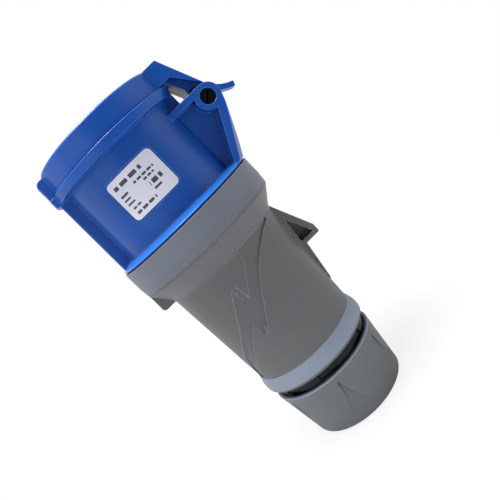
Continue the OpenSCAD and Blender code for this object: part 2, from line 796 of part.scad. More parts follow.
// Gland
module gland_body() color(black) difference() {
    union() {
        disc(barrel_r, barrel_end, nut_len + collar_gap + cut);
        disc(gland_collar_r, nut_len + collar_gap, z_flange);
        for (i = [0 : block_count - 1])
            facing(-31 + i * 360 / block_count) rotate([0, 0, -102])
                translate([0, 0, nut_len + collar_gap + 0.5]) rotate_extrude(angle = 24)
                    translate([gland_collar_r - 1, 0])
                        square([block_r - gland_collar_r + 1, gap_len - collar_gap - 1.1]);
        disc(seat_r - ring_slip, z_flange - cut, z_flange + seat_len - 1);
    }
    disc(barrel_bore_r, barrel_end - cut, seal_top);
    disc(entry_r + 2.5, seal_top - cut, z_flange + seat_len);
    disc(barrel_bore_r, seal_top + 3, z_flange + seat_len);
    tube(seat_r + cut, seat_r - 1.9, z_flange + 4, z_flange + 6.2);
}

module gland_ring() color(black) translate([0, 0, z_flange + 5.1]) rotate_extrude()
    translate([seat_r - 0.95, 0]) circle(r = 0.9);

module cable_seal() color(black) rotate_extrude() polygon([[entry_r - 0.8, seal_low],
    [barrel_bore_r - 1, seal_low], [barrel_bore_r - 0.1, seal_low + 1],
    [barrel_bore_r - 0.1, seal_top], [entry_r - 0.8, seal_top]]);

module clamp_collet() color(black) difference() {
    rotate_extrude() polygon([[entry_r + 0.3, nut_floor], [entry_r + collet_wall - 0.3, nut_floor],
        [barrel_bore_r - 0.6, cone_top], [barrel_bore_r - 0.3, cone_top + 0.4],
        [barrel_bore_r - 0.3, collet_top], [entry_r + 0.3, collet_top]]);
    for (a = [0 : 45 : 135]) rotate([0, 0, a + 22.5])
        translate([-thread_r, -0.8, nut_floor - cut]) cube([2 * thread_r, 1.6, cone_top + cut]);
}

// Scoops that start in a point near the open end, widen in a curve and run out at the end face
function scoop_half_w(d) = 0.1 * d + d * d / 75;

module scoops() {
    z_tip = nut_len - scoop_tip;
    right = [for (i = [1 : 8]) [scoop_half_w(z_tip * i / 8), z_tip * (1 - i / 8)]];
    left = [for (i = [8 : -1 : 1]) [-right[i - 1][0], right[i - 1][1]]];
    difference() {
        for (i = [0 : scoop_count - 1]) facing(scoop_phi + i * 360 / scoop_count)
            rotate([90, 0, 0]) linear_extrude(2 * nut_top_r)
                polygon(concat([[0, z_tip]], right, left));
        translate([0, 0, -cut])
            cylinder(r1 = nut_end_r, r2 = nut_r(z_tip) - scoop_depth, h = z_tip + 2 * cut);
    }
}

module nut_outline() {
    polygon(concat([[0, 0]], arc([nut_end_r - 1.6, 1.6], 1.6, -90, 0, 4),
        [[nut_top_r, nut_len - 0.9], [nut_top_r - 0.9, nut_len], [0, nut_len]]));
}

module gland_nut() color(grey) difference() {
    rotate_extrude() nut_outline();
    disc(entry_r, -cut, nut_floor + cut);
    translate([0, 0, nut_floor])
        cylinder(r1 = entry_r + collet_wall, r2 = barrel_bore_r, h = cone_top - nut_floor);
    disc(thread_r, cone_top, nut_len + cut);
    disc(block_r + 0.3, nut_len - nut_travel - 0.4, nut_len + cut);
    scoops();
}

handle_shell();
gland_body();
gland_ring();
cable_seal();
clamp_collet();
gland_nut();
front_housing();
housing_seal();
contact_carrier();
tower_face();
carrier_base();
terminal_cover();
line_contact();
neutral_contact();
earth_contact();
line_clip();
neutral_clip();
earth_clip();
terminal_screws();
carrier_screws();
cover_screw();
rating_label();
hinge_pin();
lid_spring();
lid();
lid_gasket();
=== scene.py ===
"""Looks of an industrial connector with a sprung lid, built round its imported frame.

Lengths are in millimetres and angles in degrees, unless a name or a docstring says otherwise.
"""

import json
import logging
import math
from dataclasses import dataclass, field
from enum import Enum
from functools import reduce
from typing import Any, Protocol, Sequence, Union

import bpy
from mathutils import Matrix, Vector

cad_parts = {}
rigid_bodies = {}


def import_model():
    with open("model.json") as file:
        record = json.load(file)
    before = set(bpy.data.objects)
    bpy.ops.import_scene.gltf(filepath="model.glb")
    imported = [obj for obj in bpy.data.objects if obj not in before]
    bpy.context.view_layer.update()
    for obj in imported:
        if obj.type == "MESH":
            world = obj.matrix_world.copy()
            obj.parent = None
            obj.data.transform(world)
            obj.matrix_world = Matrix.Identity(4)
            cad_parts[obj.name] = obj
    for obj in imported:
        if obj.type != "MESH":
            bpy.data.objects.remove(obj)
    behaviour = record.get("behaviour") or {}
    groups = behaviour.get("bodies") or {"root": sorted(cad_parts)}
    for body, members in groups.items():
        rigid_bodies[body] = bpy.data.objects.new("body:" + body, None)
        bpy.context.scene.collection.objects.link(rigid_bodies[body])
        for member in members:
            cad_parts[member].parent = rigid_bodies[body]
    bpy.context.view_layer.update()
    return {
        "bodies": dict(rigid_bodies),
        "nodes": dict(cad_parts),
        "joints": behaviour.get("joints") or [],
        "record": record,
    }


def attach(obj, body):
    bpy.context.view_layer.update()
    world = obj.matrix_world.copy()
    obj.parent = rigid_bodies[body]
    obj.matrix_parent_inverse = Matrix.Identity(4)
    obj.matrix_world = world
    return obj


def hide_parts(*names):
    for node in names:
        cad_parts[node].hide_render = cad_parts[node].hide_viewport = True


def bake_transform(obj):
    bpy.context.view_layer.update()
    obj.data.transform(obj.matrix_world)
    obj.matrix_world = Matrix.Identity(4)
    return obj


LOG = logging.getLogger("connector")
MM = 0.001
HAIR = 0.01

Colour = tuple[float, float, float]
Point = tuple[float, float, float]
Operand = Union["Signal", float]


class Body(Enum):
    """The bodies that new pieces ride on."""

    CONNECTOR = "connector"
    LID = "hinged_lid"
    NUT = "nut"


class Slot(Enum):
    """Names of material slots; the gland's pieces list them but are not given them."""

    HOUSING_BLUE = "housing_blue"
    NUT_GREY = "nut_grey"
    GLAND_BLACK = "gland_black"
    SPRING_STEEL = "spring_steel"


class Signal:
    """A number in a node tree that takes part in Python arithmetic."""

    def __init__(self, tree: "Tree", socket: bpy.types.NodeSocket) -> None:
        """Wraps an output socket.

        Args:
            tree: The tree that the socket's node is in.
            socket: The output socket with the number.
        """
        self.tree = tree
        self.socket = socket

    def _math(self, operation: str, *values: Operand) -> "Signal":
        """Adds a Math node.

        Args:
            operation: The name of the operation.
            *values: Its inputs, in order.

        Returns:
            The result as a signal.
        """
        return self.tree.number("ShaderNodeMath", {"operation": operation}, dict(enumerate(values)))

    def __add__(self, other: Operand) -> "Signal":
        """Sum."""
        return self._math("ADD", self, other)

    __radd__ = __add__

    def __sub__(self, other: Operand) -> "Signal":
        """Difference."""
        return self._math("SUBTRACT", self, other)

    def __rsub__(self, other: Operand) -> "Signal":
        """Difference with the signal on the right."""
        return self._math("SUBTRACT", other, self)

    def __mul__(self, other: Operand) -> "Signal":
        """Product."""
        return self._math("MULTIPLY", self, other)

    __rmul__ = __mul__

    def __truediv__(self, other: Operand) -> "Signal":
        """Quotient."""
        return self._math("DIVIDE", self, other)

    def __rtruediv__(self, other: Operand) -> "Signal":
        """Quotient with the signal on the right."""
        return self._math("DIVIDE", other, self)

    def __neg__(self) -> "Signal":
        """Opposite number."""
        return self._math("MULTIPLY", self, -1.0)

    def __abs__(self) -> "Signal":
        """Absolute value."""
        return self._math("ABSOLUTE", self)

    def __gt__(self, other: Operand) -> "Signal":
        """1 where the signal is the greater, else 0."""
        return self._math("GREATER_THAN", self, other)

    def __lt__(self, other: Operand) -> "Signal":
        """1 where the signal is the smaller, else 0."""
        return self._math("LESS_THAN", self, other)

    def at_least(self, other: Operand) -> "Signal":
        """The greater of the two."""
        return self._math("MAXIMUM", self, other)

    def at_most(self, other: Operand) -> "Signal":
        """The smaller of the two."""
        return self._math("MINIMUM", self, other)

    def sine(self) -> "Signal":
        """Sine of the signal in radians."""
        return self._math("SINE", self)

    def cosine(self) -> "Signal":
        """Cosine of the signal in radians."""
        return self._math("COSINE", self)

    def fraction(self) -> "Signal":
        """Part after the decimal point."""
        return self._math("FRACT", self)

    def root(self) -> "Signal":
        """Square root."""
        return self._math("SQRT", self)

    def angle_from(self, x: Operand) -> "Signal":
        """Angle of the point (x, signal) in radians."""
        return self._math("ARCTAN2", self, x)

    def between(self, low: float, high: float) -> "Signal":
        """1 where the signal lies between two levels, else 0."""
        return (self > low) * (self < high)

    def step(self, low: float, high: float) -> "Signal":
        """Smooth step between two levels.

        Args:
            low: The level that gives 0.
            high: The level that gives 1; below low, the step falls.

        Returns:
            The step as a signal from 0 to 1.
        """
        settings = {"interpolation_type": "SMOOTHSTEP"}
        values = {"Value": self, "From Min": low, "From Max": high}
        if low > high:
            values = {"Value": self, "From Min": high, "From Max": low, "To Min": 1.0, "To Max": 0.0}
        return self.tree.number("ShaderNodeMapRange", settings, values)


class Tree:
    """A node tree that is built from Python expressions."""

    def __init__(self, tree: bpy.types.NodeTree) -> None:
        """Wraps an empty or a new tree.

        Args:
            tree: The node tree.
        """
        self.tree = tree

    def node(self, kind: str, settings: dict[str, Any] | None = None,
             values: dict[Any, Any] | None = None) -> bpy.types.Node:
        """Adds any node: its settings first, then its sockets' values or links.

        Args:
            kind: The node's type.
            settings: Attributes of the node.
            values: Sockets by name or number, with a number, a vector, a signal or a socket.

        Returns:
            The new node.
        """
        made = self.tree.nodes.new(kind)
        for key, value in (settings or {}).items():
            setattr(made, key, value)
        for key, value in (values or {}).items():
            self.put(made.inputs[key], value)
        return made

    def put(self, socket: bpy.types.NodeSocket, value: Any) -> None:
        """Links or sets one input socket.

        Args:
            socket: The input socket.
            value: A signal, an output socket, a number, a colour, a vector or a data block.
        """
        if isinstance(value, Signal):
            value = value.socket
        if isinstance(value, bpy.types.NodeSocket):
            self.tree.links.new(value, socket)
        elif isinstance(value, tuple) and socket.type == "RGBA":
            socket.default_value = (*value, 1.0)
        else:
            socket.default_value = value

    def number(self, kind: str, settings: dict[str, Any] | None = None,
               values: dict[Any, Any] | None = None, output: Any = 0) -> Signal:
        """Adds a node and gives one output as a signal.

        Args:
            kind: The node's type.
            settings: Attributes of the node.
            values: Values or links of its sockets.
            output: Name or number of the output.

        Returns:
            The output as a signal.
        """
        return Signal(self, self.node(kind, settings, values).outputs[output])

    def vector(self, x: Operand, y: Operand, z: Operand) -> bpy.types.NodeSocket:
        """A vector from three numbers."""
        return self.node("ShaderNodeCombineXYZ", values={0: x, 1: y, 2: z}).outputs[0]


class Graph(Tree):
    """The node tree of one material."""

    def __init__(self, name: str) -> None:
        """Makes the material.

        Args:
            name: The material's name.
        """
        self.material = bpy.data.materials.new(name)
        self.material.use_nodes = True
        super().__init__(self.material.node_tree)
        self.shader = self.tree.nodes["Principled BSDF"]
        self._place: bpy.types.NodeSocket | None = None

    def place(self) -> bpy.types.NodeSocket:
        """The point on the object, in metres in the part's frame."""
        if self._place is None:
            self._place = self.node("ShaderNodeTexCoord").outputs["Object"]
        return self._place

    def xyz(self) -> tuple[Signal, Signal, Signal]:
        """The point's three coordinates in millimetres."""
        parts = self.node("ShaderNodeSeparateXYZ", values={0: self.place()}).outputs
        x, y, z = (Signal(self, part) / MM for part in parts)
        return x, y, z

    def noise(self, scale: float, detail: float = 2.0, roughness: float = 0.5,
              stretch: Point = (1.0, 1.0, 1.0)) -> Signal:
        """Smooth noise between 0 and 1.

        Args:
            scale: Cells in a metre.
            detail: Octaves.
            roughness: Share of each finer octave.
            stretch: Factors on the three coordinates.

        Returns:
            The noise as a signal.
        """
        place = self.place()
        if stretch != (1.0, 1.0, 1.0):
            place = self.node("ShaderNodeVectorMath", {"operation": "MULTIPLY"},
                              {0: place, 1: stretch}).outputs[0]
        return self.number("ShaderNodeTexNoise", {},
                           {"Vector": place, "Scale": scale, "Detail": detail, "Roughness": roughness})

    def cells(self, scale: float) -> Signal:
        """Distance to the nearest of scattered points, for fine grain.

        Args:
            scale: Cells in a metre.

        Returns:
            The distance as a signal.
        """
        return self.number("ShaderNodeTexVoronoi", {"feature": "F1"},
                           {"Vector": self.place(), "Scale": scale}, "Distance")

    def mix(self, share: Operand, low: Any, high: Any) -> bpy.types.NodeSocket:
        """Blends two colours.

        Args:
            share: 0 for the first colour and 1 for the second.
            low: First colour or colour socket.
            high: Second colour or colour socket.

        Returns:
            The blended colour's socket.
        """
        return self.node("ShaderNodeMix", {"data_type": "RGBA"},
                         {"Factor": share, 6: low, 7: high}).outputs[2]

    def edges(self, radius: float) -> bpy.types.NodeSocket:
        """The surface's normal, rounded over sharp edges.

        Args:
            radius: Radius of the rounding in metres.

        Returns:
            The normal's socket.
        """
        return self.node("ShaderNodeBevel", {"samples": 6}, {"Radius": radius}).outputs[0]

    def edge_share(self, normal: bpy.types.NodeSocket) -> Signal:
        """How far a rounded normal has turned from the flat one.

        Args:
            normal: The normal from edges().

        Returns:
            0 on flat faces, up to 1 at sharp edges.
        """
        flat = self.node("ShaderNodeNewGeometry").outputs["Normal"]
        along = self.number("ShaderNodeVectorMath", {"operation": "DOT_PRODUCT"},
                            {0: flat, 1: normal}, "Value")
        return (1.0 - along).step(0.004, 0.1)

    def bump(self, height: Signal, depth: float, normal: bpy.types.NodeSocket) -> bpy.types.NodeSocket:
        """A normal that follows a height signal.

        Args:
            height: The height, where 1 stands for depth.
            depth: Height in metres of a signal of 1.
            normal: The normal to start from.

        Returns:
            The normal's socket.
        """
        return self.node("ShaderNodeBump", values={"Height": height, "Distance": depth, "Strength": 1.0,
                                                   "Normal": normal}).outputs[0]

    def surface(self, **values: Any) -> bpy.types.Material:
        """Sets the shader's sockets and gives the finished material.

        Args:
            **values: Sockets by name, with underscores for spaces.

        Returns:
            The material.
        """
        for name, value in values.items():
            self.put(self.shader.inputs[name.replace("_", " ")], value)
        return self.material


class Recipe(Tree):
    """A geometry tree with named inputs, which shapes a blank into a finished mesh."""

    def __init__(self, name: str) -> None:
        """Makes the tree with its geometry sockets.

        Args:
            name: The tree's name.
        """
        super().__init__(bpy.data.node_groups.new(name, "GeometryNodeTree"))
        for way in ("INPUT", "OUTPUT"):
            self.tree.interface.new_socket("Geometry", in_out=way, socket_type="NodeSocketGeometry")
        self.inlet = self.tree.nodes.new("NodeGroupInput")
        self.outlet = self.tree.nodes.new("NodeGroupOutput")
        self.sizes: dict[str, float] = {}

    def blank(self) -> bpy.types.NodeSocket:
        """The mesh that the recipe starts from."""
        return self.inlet.outputs["Geometry"]

    def size(self, name: str, value: float) -> Signal:
        """Adds a named input with its value.

        Args:
            name: The input's name.
            value: Its value on the piece.

        Returns:
            The input as a signal.
        """
        socket = self.tree.interface.new_socket(name, in_out="INPUT", socket_type="NodeSocketFloat")
        self.sizes[socket.identifier] = float(value)
        return Signal(self, self.inlet.outputs[name])

    def column(self, name: str) -> Signal:
        """A number that each point of the blank carries.

        Args:
            name: The attribute's name.

        Returns:
            The number as a signal.
        """
        return self.number("GeometryNodeInputNamedAttribute", {"data_type": "FLOAT"}, {"Name": name})

    def moved(self, mesh: bpy.types.NodeSocket, place: bpy.types.NodeSocket) -> bpy.types.NodeSocket:
        """Puts every point at a place."""
        return self.node("GeometryNodeSetPosition", {},
                         {"Geometry": mesh, "Position": place}).outputs[0]

    def finish(self, mesh: bpy.types.NodeSocket, material: bpy.types.Material) -> None:
        """Ends the tree in real geometry with its material.

        Args:
            mesh: The finished geometry.
            material: Its material.
        """
        real = self.node("GeometryNodeRealizeInstances", {}, {0: mesh}).outputs[0]
        dressed = self.node("GeometryNodeSetMaterial", {}, {"Geometry": real, "Material": material})
        self.put(self.outlet.inputs["Geometry"], dressed.outputs[0])

    def make(self, name: str, blank: bpy.types.Mesh, crease: float = 32.0) -> bpy.types.Object:
        """Runs the recipe on a blank.

        Args:
            name: The piece's name.
            blank: The mesh that it starts from.
            crease: Edges sharper than this many degrees stay sharp.

        Returns:
            The piece, with a plain mesh and no modifier.
        """
        piece = bpy.data.objects.new(name, blank)
        bpy.context.scene.collection.objects.link(piece)
        modifier = piece.modifiers.new("recipe", "NODES")
        modifier.node_group = self.tree
        for identifier, value in self.sizes.items():
            modifier[identifier] = value
        bpy.context.view_layer.update()
        seen = piece.evaluated_get(bpy.context.evaluated_depsgraph_get())
        mesh = bpy.data.meshes.new_from_object(seen)
        piece.modifiers.remove(modifier)
        piece.data = mesh
        mesh.name = name
        mesh.shade_smooth()
        mesh.set_sharp_from_angle(angle=math.radians(crease))
        return piece


@dataclass(frozen=True)
class Row:
    """One ring of a turned blank: its radius and height, and what acts on it."""

    radius: float
    height: float
    shaped: float = 0.0
    threaded: float = 0.0


def rows(start: tuple[float, float], end: tuple[float, float], count: int, **marks: float) -> list[Row]:
    """Rings in equal steps along a straight wall.

    Args:
        start: Radius and height of the first ring.
        end: Radius and height where the wall ends; no ring is made there.
        count: The number of rings.
        **marks: What acts on them.

    Returns:
        The rings.
    """
    shares = (i / count for i in range(count))
    return [Row(start[0] + (end[0] - start[0]) * share, start[1] + (end[1] - start[1]) * share, **marks)
            for share in shares]


def turned_blank(name: str, section: Sequence[Row], sectors: int,
                 shares: Sequence[float]) -> bpy.types.Mesh:
    """A grid of rings whose points know their ring and their place in a sector.

    Args:
        name: The mesh's name.
        section: The rings, in order round the section.
        sectors: How many equal sectors the turn has.
        shares: Places of the columns in a sector, from -1 up to but without 1.

    Returns:
        The blank, whose last ring joins the first, with evenly spread points.
    """
    columns = sectors * len(shares)
    names = ("radius", "height", "shaped", "threaded", "share", "sector")
    numbers: dict[str, list[float]] = {key: [] for key in names}
    points, faces = [], []
    for row in section:
        for j in range(columns):
            angle = 2 * math.pi * j / columns
            points.append((row.radius * MM * math.cos(angle), row.radius * MM * math.sin(angle),
                           row.height * MM))
            values = (row.radius, row.height, row.shaped, row.threaded, shares[j % len(shares)],
                      float(j // len(shares)))
            for key, value in zip(names, values):
                numbers[key].append(value)
    count = len(section)
    for i in range(count):
        low, high = i * columns, (i + 1) % count * columns
        for j in range(columns):
            after = (j + 1) % columns
            faces.append((low + j, low + after, high + after, high + j))
    mesh = bpy.data.meshes.new(name)
    mesh.from_pydata(points, [], faces)
    for key in names:
        mesh.attributes.new(key, "FLOAT", "POINT").data.foreach_set("value", numbers[key])
    return mesh


def srgb(red: int, green: int, blue: int) -> Colour:
    """A colour as seen on a screen, made linear.

    Args:
        red: Red from 0 to 255.
        green: Green from 0 to 255.
        blue: Blue from 0 to 255.

    Returns:
        The linear colour.
    """
    def linear(level: int) -> float:
        """One channel made linear."""
        share = level / 255
        return share / 12.92 if share <= 0.04045 else ((share + 0.055) / 1.055) ** 2.4
    return linear(red), linear(green), linear(blue)


class Finish(Protocol):
    """What every finish offers."""

    name: str

    def material(self) -> bpy.types.Material:
        """Builds the material."""


@dataclass(frozen=True)
class PaintedHighlightRing:
    """A ring painted paler, a painted highlight where the surface faces the light; its top falls by so
    much per mm of radius.
    """

    low: float
    high: float
    inner: float
    painted_highlight: Colour
    fall: float = 0.0
    fade: float = 0.2

    def share(self, radius: Signal, height: Signal) -> Signal:
        """Where the ring is.

        Args:
            radius: Distance from the long axis.
            height: Height along it.

        Returns:
            1 on the ring, else 0, with soft edges.
        """
        top = height + (radius - self.inner) * self.fall
        return height.step(self.low - self.fade, self.low + self.fade) \
            * top.step(self.high + self.fade, self.high - self.fade) \
            * radius.step(self.inner - self.fade, self.inner + self.fade)


@dataclass(frozen=True)
class MouldedPlastic:
    """Injection-moulded plastic with a fine matt grain, handling marks, and sharp edges painted lighter
    as edge wear and as a painted highlight.

    The grain's depth and the edge's radius are in metres; clouds, streaks, specks and pores are
    counted to the metre.
    """

    name: str
    base: Colour
    rubbed: Colour
    edge_wear_and_highlight: Colour
    roughness: float = 0.42
    shine: float = 0.3
    grain: float = 0.00002
    edge: float = 0.0004
    wear_and_highlight_share: float = 0.5
    painted_rings: tuple[PaintedHighlightRing, ...] = ()
    clouds: float = 38.0
    streaks: float = 60.0
    specks: float = 900.0
    pores: float = 2600.0

    def add_painted_rings(self, g: Graph, skin: bpy.types.NodeSocket) -> bpy.types.NodeSocket:
        """Adds the rings of painted highlight to the colour.

        Args:
            g: The material's graph.
            skin: The colour without the rings.

        Returns:
            The colour with the rings.
        """
        for painted_ring in self.painted_rings:
            x, y, z = g.xyz()
            # painted highlight: a paler ring where the surface faces the light
            skin = g.mix(painted_ring.share((x * x + y * y).root(), z), skin, painted_ring.painted_highlight)
        return skin

    def material(self) -> bpy.types.Material:
        """Builds the material."""
        g = Graph(self.name)
        cloud = g.noise(self.clouds, 3.0)
        streak = g.noise(self.streaks, 2.0, 0.6, (1.0, 1.0, 0.18))
        speck = g.noise(self.specks, 1.0)
        handled = (cloud * 0.6 + streak * 0.4).step(0.42, 0.68)
        rounded = g.edges(self.edge)
        # edge wear and painted highlight: sharp edges painted lighter, as if rubbed and catching the
        # light
        worn_and_lit = g.edge_share(rounded) * (0.5 + 0.5 * cloud)
        skin = self.add_painted_rings(g, g.mix(handled * 0.4, self.base, self.rubbed))
        height = g.cells(self.pores) * 0.6 + speck * 0.4
        return g.surface(
            Base_Color=g.mix(worn_and_lit * self.wear_and_highlight_share, skin, self.edge_wear_and_highlight),
            Roughness=self.roughness + 0.08 * (streak - 0.5) + 0.05 * (speck - 0.5) - 0.08 * worn_and_lit,
            Specular_IOR_Level=self.shine,
            Normal=g.bump(height, self.grain, rounded))


@dataclass(frozen=True)
class Rubber:
    """Soft moulded rubber with a dull, faintly dusty skin; grain and edge are in metres."""

    name: str
    base: Colour
    dusty: Colour
    dusts: float = 120.0
    pores: float = 1500.0
    grain: float = 0.00003
    edge: float = 0.0003

    def material(self) -> bpy.types.Material:
        """Builds the material."""
        g = Graph(self.name)
        dust = g.noise(self.dusts, 4.0, 0.6).step(0.45, 0.75)
        return g.surface(
            Base_Color=g.mix(dust * 0.4, self.base, self.dusty),
            Roughness=0.62 + 0.15 * dust,
            Specular_IOR_Level=0.3,
            Normal=g.bump(g.noise(self.pores, 2.0), self.grain, g.edges(self.edge)))


@dataclass(frozen=True)
class TurnedMetal:
    """Metal with the fine rings that a lathe leaves; grain and edge are in metres."""

    name: str
    base: Colour
    tarnish: Colour
    roughness: float = 0.3
    stains: float = 150.0
    rings: float = 220.0
    grain: float = 0.00002
    edge: float = 0.0002

    def material(self) -> bpy.types.Material:
        """Builds the material."""
        g = Graph(self.name)
        stain = g.noise(self.stains, 4.0, 0.6).step(0.4, 0.8)
        rings = g.noise(self.rings, 2.0, 0.5, (0.2, 0.2, 14.0))
        return g.surface(
            Base_Color=g.mix(stain * 0.6, self.base, self.tarnish),
            Metallic=1.0,
            Roughness=self.roughness + 0.15 * stain + 0.08 * (rings - 0.5),
            Normal=g.bump(rings, self.grain, g.edges(self.edge)))


@dataclass(frozen=True)
class PrintedRow:
    """One row of plain blocks: height and thickness, left and right end, pitch of the blocks."""

    height: float
    thickness: float
    left: float
    right: float
    pitch: float = 0.0


@dataclass(frozen=True)
class PrintedFilm:
    """Pale film round the neck, printed with rows of plain blocks.

    The gap is the share of the pitch between two blocks, and the drift moves each row's blocks
    along by its height. The cover is the ink's strength; grain and edge are in metres.
    """

    name: str
    film: Colour
    yellowed: Colour
    ink: Colour
    rows: tuple[PrintedRow, ...]
    neck_r: float = 35.1
    turn_deg: float = -7.0
    middle: float = 158.9
    gap: float = 0.24
    drift: float = 0.37
    cover: float = 0.92
    stains: float = 55.0
    pores: float = 700.0
    grain: float = 0.000006
    edge: float = 0.00015

    def blocks(self, across: Signal, up: Signal) -> Signal:
        """Where the ink is.

        Args:
            across: Place along the neck from the film's middle.
            up: Height over the film's middle.

        Returns:
            1 on the printed blocks, else 0.
        """
        marks = []
        for row in self.rows:
            mark = up.between(row.height - row.thickness / 2, row.height + row.thickness / 2) \
                * across.between(row.left, row.right)
            if row.pitch:
                mark = mark * ((across / row.pitch + self.drift * row.height).fraction() > self.gap)
            marks.append(mark)
        return reduce(Signal.at_least, marks)

    def material(self) -> bpy.types.Material:
        """Builds the material."""
        g = Graph(self.name)
        x, y, z = g.xyz()
        across = (x.angle_from(-y) - math.radians(self.turn_deg)) * self.neck_r
        printed = self.blocks(across, z - self.middle)
        age = g.noise(self.stains, 3.0).step(0.4, 0.7)
        return g.surface(
            Base_Color=g.mix(printed * self.cover, g.mix(age * 0.5, self.film, self.yellowed), self.ink),
            Roughness=0.38 + 0.1 * age + 0.08 * printed,
            Specular_IOR_Level=0.35,
            Normal=g.bump(g.noise(self.pores, 1.0), self.grain, g.edges(self.edge)))


# Each moulding's third colour is its edge wear and painted highlight.
# The rings given to these mouldings are painted highlights: paler where the shoulder, flange, collar and
# the nut's top bevel face the light.
BLUE = MouldedPlastic("blue_moulding", srgb(17, 73, 153), srgb(24, 81, 161), srgb(76, 133, 221),
                      0.36, 0.3, edge=0.0007, wear_and_highlight_share=0.85,
                      painted_rings=(PaintedHighlightRing(133.9, 136.9, 36.2, srgb(44, 106, 190), 0.25),))
GREY = MouldedPlastic("grey_moulding", srgb(100, 99, 98), srgb(105, 104, 102), srgb(182, 184, 196),
                      0.46, 0.32, edge=0.0005, wear_and_highlight_share=0.85,
                      painted_rings=(PaintedHighlightRing(36.6, 44.4, 30.0, srgb(134, 141, 154)),
                             PaintedHighlightRing(118.5, 133.4, 41.0, srgb(109, 112, 121))))
NUT_GREY = MouldedPlastic("nut_moulding", srgb(107, 108, 109), srgb(112, 112, 112), srgb(148, 149, 152),
                          0.44, 0.32, edge=0.0002,
                          painted_rings=(PaintedHighlightRing(28.8, 30.0, 30.4, srgb(146, 149, 164)),))
INSERT = MouldedPlastic("insulating_moulding", srgb(88, 91, 96), srgb(96, 98, 101), srgb(122, 124, 128),
                        0.5, 0.45)
BLACK = MouldedPlastic("black_moulding", srgb(17, 21, 27), srgb(23, 27, 33), srgb(58, 64, 72),
                       0.38, 0.35, edge=0.0003)
PIN = MouldedPlastic("dark_pin", srgb(9, 11, 13), srgb(12, 14, 17), srgb(26, 30, 35),
                     0.5, 0.2, edge=0.0002)
SEAL = Rubber("seal_rubber", srgb(22, 23, 25), srgb(44, 45, 47))
BRASS = TurnedMetal("bare_brass", srgb(200, 165, 95), srgb(150, 118, 66))
STEEL = TurnedMetal("zinc_steel", srgb(190, 192, 196), srgb(140, 142, 146))
WIRE = TurnedMetal("dark_spring_wire", srgb(92, 94, 98), srgb(60, 62, 66), 0.36)
FILM = PrintedFilm("label_film", srgb(222, 218, 228), srgb(214, 211, 220), srgb(26, 28, 38), (
    PrintedRow(6.9, 2.0, -11.6, 5.6, 5.8),
    PrintedRow(3.3, 1.1, -2.2, 10.2, 3.1),
    PrintedRow(1.2, 1.0, 2.2, 8.6, 2.7),
    PrintedRow(2.2, 1.1, -11.8, -7.2),
    PrintedRow(-0.2, 0.9, -11.8, -7.8),
    PrintedRow(-2.5, 0.9, -11.8, -7.2),
    PrintedRow(-2.2, 2.4, 3.0, 10.4, 4.2),
    PrintedRow(-5.3, 1.1, 3.2, 7.4),
    PrintedRow(-5.2, 1.0, -11.0, -5.6, 2.9),
    PrintedRow(-8.0, 1.4, -11.0, 1.6, 4.1)))


@dataclass
class Rack:
    """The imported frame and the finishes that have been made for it."""

    frame: dict[str, Any]
    made: dict[str, bpy.types.Material] = field(default_factory=dict)

    def finish(self, finish: Finish) -> bpy.types.Material:
        """The material of a finish, made once."""
        if finish.name not in self.made:
            self.made[finish.name] = finish.material()
        return self.made[finish.name]

    def dress(self, finish: Finish, *nodes: str) -> list[str]:
        """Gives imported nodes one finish.

        Args:
            finish: The finish.
            *nodes: The nodes' names.

        Returns:
            The nodes' names.
        """
        for node in nodes:
            data = self.frame["nodes"][node].data
            data.materials.clear()
            data.materials.append(self.finish(finish))
        return list(nodes)


@dataclass
class Handle:
    """The tapered grip with its collar, hook and long reliefs."""

    rack: Rack

    def build(self) -> list[str]:
        """Dresses the grip and names what was dressed."""
        return self.rack.dress(GREY, "handle_shell")


@dataclass
class FrontHousing:
    """The socket's shell with its hinge bracket, pin and seam seal."""

    rack: Rack

    def build(self) -> list[str]:
        """Dresses the shell's pieces and names them."""
        return self.rack.dress(BLUE, "front_housing") + self.rack.dress(PIN, "hinge_pin") \
            + self.rack.dress(SEAL, "housing_seal")


@dataclass
class RatingLabel:
    """The printed film in the neck's recess."""

    rack: Rack

    def build(self) -> list[str]:
        """Dresses the film and names it."""
        return self.rack.dress(FILM, "rating_label")


@dataclass
class HingedLid:
    """The lid with its gasket and the thin floor that closes the arm's channel towards the neck.

    The floor's profile is its side view, as places along X and Z.
    """

    rack: Rack
    floor_half: float = 5.85
    floor_profile: tuple[tuple[float, float], ...] = (
        (40.6, 186.3), (41.0, 185.05), (44.05, 178.2), (43.9, 175.0),
        (44.15, 175.0), (44.65, 178.3), (41.7, 185.3), (41.4, 186.3))

    def channel_floor(self) -> str:
        """Makes the floor from its side view and names it."""
        count = len(self.floor_profile)
        corners = [(x * MM, side * self.floor_half * MM, z * MM)
                   for side in (-1, 1) for x, z in self.floor_profile]
        front = tuple(range(count))
        faces = [front, tuple(count + i for i in reversed(front))]
        faces += [(i, count + i, count + (i + 1) % count, (i + 1) % count) for i in front]
        mesh = bpy.data.meshes.new("arm_channel_floor")
        mesh.from_pydata(corners, [], faces)
        mesh.materials.append(self.rack.finish(BLUE))
        piece = bpy.data.objects.new(mesh.name, mesh)
        bpy.context.scene.collection.objects.link(piece)
        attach(piece, Body.LID.value)
        return piece.name

    def build(self) -> list[str]:
        """Dresses the lid's pieces and names them."""
        return self.rack.dress(BLUE, "lid") + self.rack.dress(SEAL, "lid_gasket") \
            + [self.channel_floor()]


